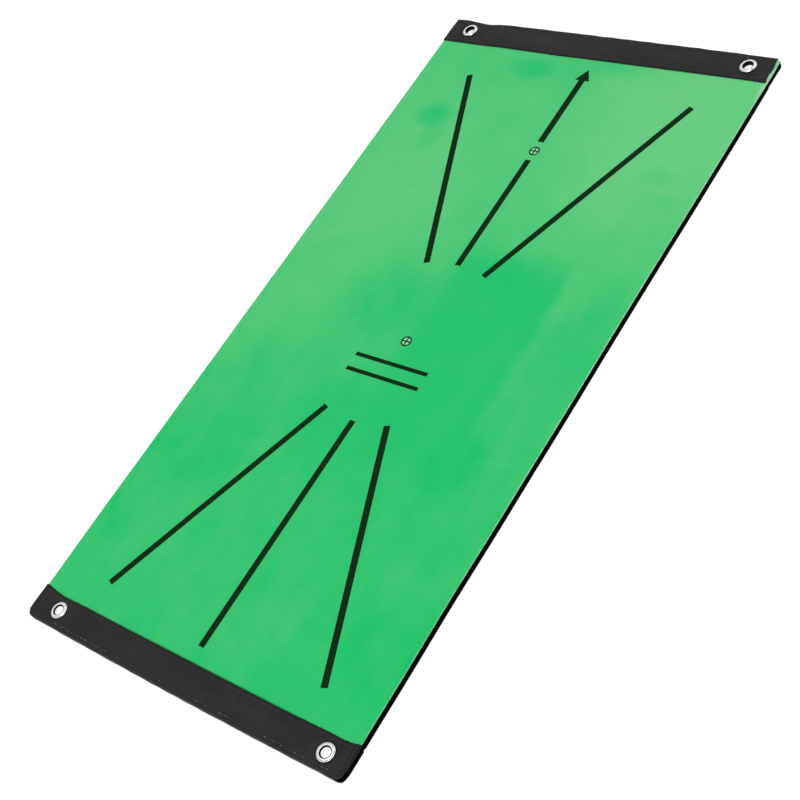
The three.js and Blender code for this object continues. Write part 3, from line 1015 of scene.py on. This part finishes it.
def strip_grid(end):
    """A strip's outer and inner surfaces, as grids of points over (x, section), and its tones."""
    section = strip_section()
    d, z, out_d, out_z, flap = (section[:, k][None, :] for k in range(5))
    ends = HALF_WIDTH - np.array([0.0, 0.12, 0.3, 0.6])
    inner_xs = np.arange(-HALF_WIDTH + 1.0, HALF_WIDTH - 0.9, GRID_PITCH)
    xs = np.unique(np.concatenate([-ends, inner_xs, ends]))[:, None]
    margin = HALF_WIDTH - STRETCHED_MARGIN
    share = np.clip((np.abs(xs) - margin) / (HALF_WIDTH - margin), 0, 1)
    above = z > FLAP_TOP - FOLD_RADIUS
    right, left = side_limit(end, d, above, "right"), side_limit(end, d, above, "left")
    limit = np.where(xs > 0, right, left)
    x = np.sign(xs) * (np.minimum(np.abs(xs), margin) + share * (limit - margin))
    room = limit - np.abs(x)
    shift = flap_carry(end, x, d, flap > 0)
    relief = np.where(flap > 0, flap_relief(end, x, d, True), 0.0)
    relief = np.where(flap < 0, flap_relief(end, x, d, False), relief)
    relief = relief - 0.3 * smooth(0.7, 0, room) ** 2 * (flap > 0)
    fold_lumps = (0.12 + 0.12 * wavy(x, z, 12, 41)) * (flap == 0)
    lift = relief + fold_lumps * smooth(0, 1.2, FOLD_RADIUS - d)
    droop = 0.8 * smooth(0, 0.8, np.abs(x) - HALF_WIDTH) * (flap > 0)
    outer_d, outer_z = d + out_d * lift, z + out_z * lift - droop
    inner_d, inner_z = d - out_d * LEATHER, z - out_z * LEATHER - droop
    outer = np.stack([x, FOLD_Y - outer_d + shift, outer_z], axis=-1)
    inner = np.stack([x, FOLD_Y - inner_d + shift, inner_z + 0 * x], axis=-1)
    tone = strip_tone(end, x, d, flap, room)
    return outer, inner, tone


def grid_faces(rows, columns, start, flip):
    faces = []
    for i in range(rows - 1):
        for j in range(columns - 1):
            a = start + i * columns + j
            face = [a, a + 1, a + columns + 1, a + columns]
            faces.append(face[::-1] if flip else face)
    return faces


def shell(name, outer, inner, tone):
    """A closed sheet between two grids of points, with the same tones on both."""
    rows, columns = outer.shape[:2]
    offset = rows * columns
    faces = grid_faces(rows, columns, 0, False) + grid_faces(rows, columns, offset, True)
    rim = list(range(columns))
    rim += [i * columns + columns - 1 for i in range(1, rows)]
    rim += [(rows - 1) * columns + j for j in range(columns - 2, -1, -1)]
    rim += [i * columns for i in range(rows - 2, 0, -1)]
    for k, a in enumerate(rim):
        b = rim[(k + 1) % len(rim)]
        faces.append([b, a, a + offset, b + offset])
    points = np.concatenate([outer.reshape(-1, 3), inner.reshape(-1, 3)])
    return make_mesh(name, points, faces, tone=np.concatenate([tone.ravel(), tone.ravel()]))


def add_strip(end, leather):
    outer, inner, tone = strip_grid(end)
    outer, inner = turned_points(outer, end["turn"]), turned_points(inner, end["turn"])
    strip = shell(f"strip_{end['name']}", outer, inner, tone)
    holes = hole_cutter(EYELET_HOLE)
    cut(strip, holes)
    discard(holes)
    finish_piece(strip, leather, "end_strip", f"{end['name']}_end_strip")
    return strip


# ---- Seams ----

# A stitch is a tube of rings: their number, and the corners of each
STITCH_RINGS, RING_CORNERS = 8, 8


def seam_walk(end):
    """Each stitch of the seam's rectangle: its side's start (x, d) and heading, how far along that
    side its middle is, and its pitch, which fits a whole number of stitches to the side."""
    left, right, near, far = seam_sides(end)
    corners = [(left, near), (right, near), (right, far), (left, far)]
    for k, start in enumerate(corners):
        stop = corners[(k + 1) % 4]
        run = math.dist(start, stop)
        count = round(run / STITCH_PITCH)
        heading = ((stop[0] - start[0]) / run, (stop[1] - start[1]) / run)
        for number in range(count):
            middle = (number + 0.5) * run / count
            yield start, heading, middle, run / count


def stitch(end, start, heading, middle, pitch, upper, rng):
    """One stitch's points, ring after ring. It dives into the leather at both ends."""
    length = pitch * rng.uniform(0.80, 0.88)
    lean = rng.uniform(-0.10, 0.10)
    tightness = rng.uniform(0.85, 1.1)
    radius = THREAD_RADIUS if upper else BOBBIN_RADIUS
    points = []
    for k in range(STITCH_RINGS):
        share = k / (STITCH_RINGS - 1)
        along = middle + (share - 0.5) * length
        aside = lean * (2 * share - 1)
        x = start[0] + heading[0] * along - heading[1] * aside
        d = start[1] + heading[1] * along + heading[0] * aside
        relief = float(flap_relief(end, np.array(x), np.array(d), upper))
        arch = math.sin(math.pi * share) ** 0.6
        rise = (arch * 0.72 - 0.42) * radius * 1.5 * tightness
        size = radius * (0.72 + 0.28 * arch)
        for corner in range(RING_CORNERS):
            angle = corner * 2 * math.pi / RING_CORNERS
            side_step = size * math.cos(angle) * 1.08
            height = relief + rise + size * math.sin(angle)
            point_x = x - heading[1] * side_step
            point_d = d + heading[0] * side_step
            shift = flap_carry(end, point_x, point_d, upper)
            z = FLAP_TOP + height if upper else max(-height, 0.01)
            points.append((point_x, FOLD_Y - point_d + shift, z))
    return points


def add_seam(end, upper, thread):
    rng = np.random.default_rng(11 if upper else 12)
    points, faces = [], []
    for place in seam_walk(end):
        faces += closed_faces(STITCH_RINGS, RING_CORNERS, len(points))
        points += stitch(end, *place, upper, rng)
    kind = "needle" if upper else "bobbin"
    name = f"{kind}_stitches_{end['name']}"
    seam = make_mesh(name, turned_points(points, end["turn"]), faces, smooth_angle=60)
    finish_piece(seam, thread, "seam_thread", f"{kind}_thread_{end['name']}")
    return seam


# ---- Eyelets ----

def arc_points(centre_r, centre_z, radius_r, radius_z, first, last, count):
    angles = np.radians(np.linspace(first, last, count))
    return [(centre_r + radius_r * math.cos(a), centre_z + radius_z * math.sin(a)) for a in angles]


# Where the flange is highest, how deep its bend into the tube is, and the groove pressed in it
CROWN_RADIUS, CROWN_BEND = 4.7, 0.9
PRESSED_RADIUS, PRESSED_DEPTH = 5.85, 0.2
# The lip curls out from the tube with this radius, and the tube is straight down to this height
CURL_RADIUS, TUBE_END = 1.25, 3.5
# How far below the crown a shade is painted down the inside of the tube
TUBE_SHADE = {"target": 3.2, "tail": 1.0}


def eyelet_profile(low, high, shade):
    """Sheet metal from the flange's rim over its crown, down the tube and out to the curled lip.

    Also gives the tone of each point, a painted shade: dark where the crown bends into the tube,
    down to shade below the crown, and a little dark in the pressed groove and at the rim.
    """
    metal, bore, tube = EYELET_METAL, EYELET_BORE, EYELET_BORE + EYELET_METAL
    seat, crown = FLAP_TOP - 0.3, high[2]
    bend_z, flange = crown - CROWN_BEND, FLANGE_RADIUS - CROWN_RADIUS
    curl_r, curl_z = bore + CURL_RADIUS, low[2] + 0.55
    curl_height = curl_z - low[2]
    turns = np.radians(np.linspace(0, 90, 30))
    radii = CROWN_RADIUS + flange * np.cos(turns)
    heights = seat + (crown - seat) * np.sin(turns)
    heights = heights - PRESSED_DEPTH * bell(radii - PRESSED_RADIUS, 0.24)
    outside = list(zip(radii, heights))
    outside += arc_points(CROWN_RADIUS, bend_z, CROWN_RADIUS - bore, CROWN_BEND, 98, 180, 28)
    outside += [(bore, z) for z in np.linspace(crown - 1.0, TUBE_END, 10)]
    outside += arc_points(curl_r, curl_z, CURL_RADIUS, curl_height, 180, 330, 12)
    inside = arc_points(curl_r, curl_z, CURL_RADIUS - metal, curl_height - metal, 330, 180, 10)
    inside += [(tube, TUBE_END)]
    inside += arc_points(CROWN_RADIUS, bend_z, CROWN_RADIUS - tube, CROWN_BEND - metal, 180, 98, 10)
    inside += arc_points(CROWN_RADIUS, seat, flange - metal, crown - seat - metal, 90, 0, 8)
    profile = np.array((outside + inside)[::-1])
    radius, height = profile[:, 0], profile[:, 1]
    # Painted shade in the bend and down the tube, in the pressed groove and at the rim
    bent = smooth(4.5, 4.25, radius) * smooth(crown - shade - 0.2, crown - shade, height)
    groove_shade = 0.6 * bell(radius - PRESSED_RADIUS, 0.28) * (height > seat)
    rim = 0.9 * smooth(FLANGE_RADIUS - 0.25, FLANGE_RADIUS - 0.1, radius)
    return profile, -np.clip(bent + groove_shade + rim, 0, 1)


def washer_profile(low, high):
    """A dished ring that backs the eyelet under the mat."""
    inner, outer = EYELET_HOLE, (high[0] - low[0]) / 2
    base, top = low[2] + 0.3, high[2]
    return [
        *arc_points(outer - 0.3, top - 0.3, 0.3, 0.3, 90, -20, 7),
        (outer - 0.1, low[2] + 0.05),
        (outer - 0.35, low[2]),
        (outer - 0.6, base),
        (inner + 0.15, base),
        (inner, base + 0.12),
        (inner, top - 0.1),
        (inner + 0.1, top),
    ][::-1]


def add_eyelets():
    bright = nickel("bright_nickel", NICKEL_BRIGHT, 0.14)
    plain = nickel("plain_nickel", NICKEL_PLAIN, 0.28)
    pieces = {"target": [], "tail": []}
    for end, number, x, y in eyelet_places():
        place = f"{end['name']}_{('left', 'right')[number]}"
        low, high = box_mm(f"eyelet_{place}")
        profile, tone = eyelet_profile(low, high, TUBE_SHADE[end["name"]])
        eyelet = lathe(f"grommet_{place}", profile, (x, y), tone=tone)
        finish_piece(eyelet, bright, "eyelet_metal", f"eyelet_{place}")
        low, high = box_mm(f"washer_{place}")
        washer = lathe(f"backing_{place}", washer_profile(low, high), (x, y), 64)
        finish_piece(washer, plain, "eyelet_metal", f"washer_{place}")
        pieces[end["name"]] += [eyelet, washer]
    return pieces


# ---- The whole object ----

add_camera()
add_studio()
rubber, face = add_layers()
prints = add_print()
leather = strip_leather()
thread = spun_thread()
metalware = add_eyelets()
for end in ENDS.values():
    strip = add_strip(end, leather)
    seams = [add_seam(end, upper, thread) for upper in (True, False)]
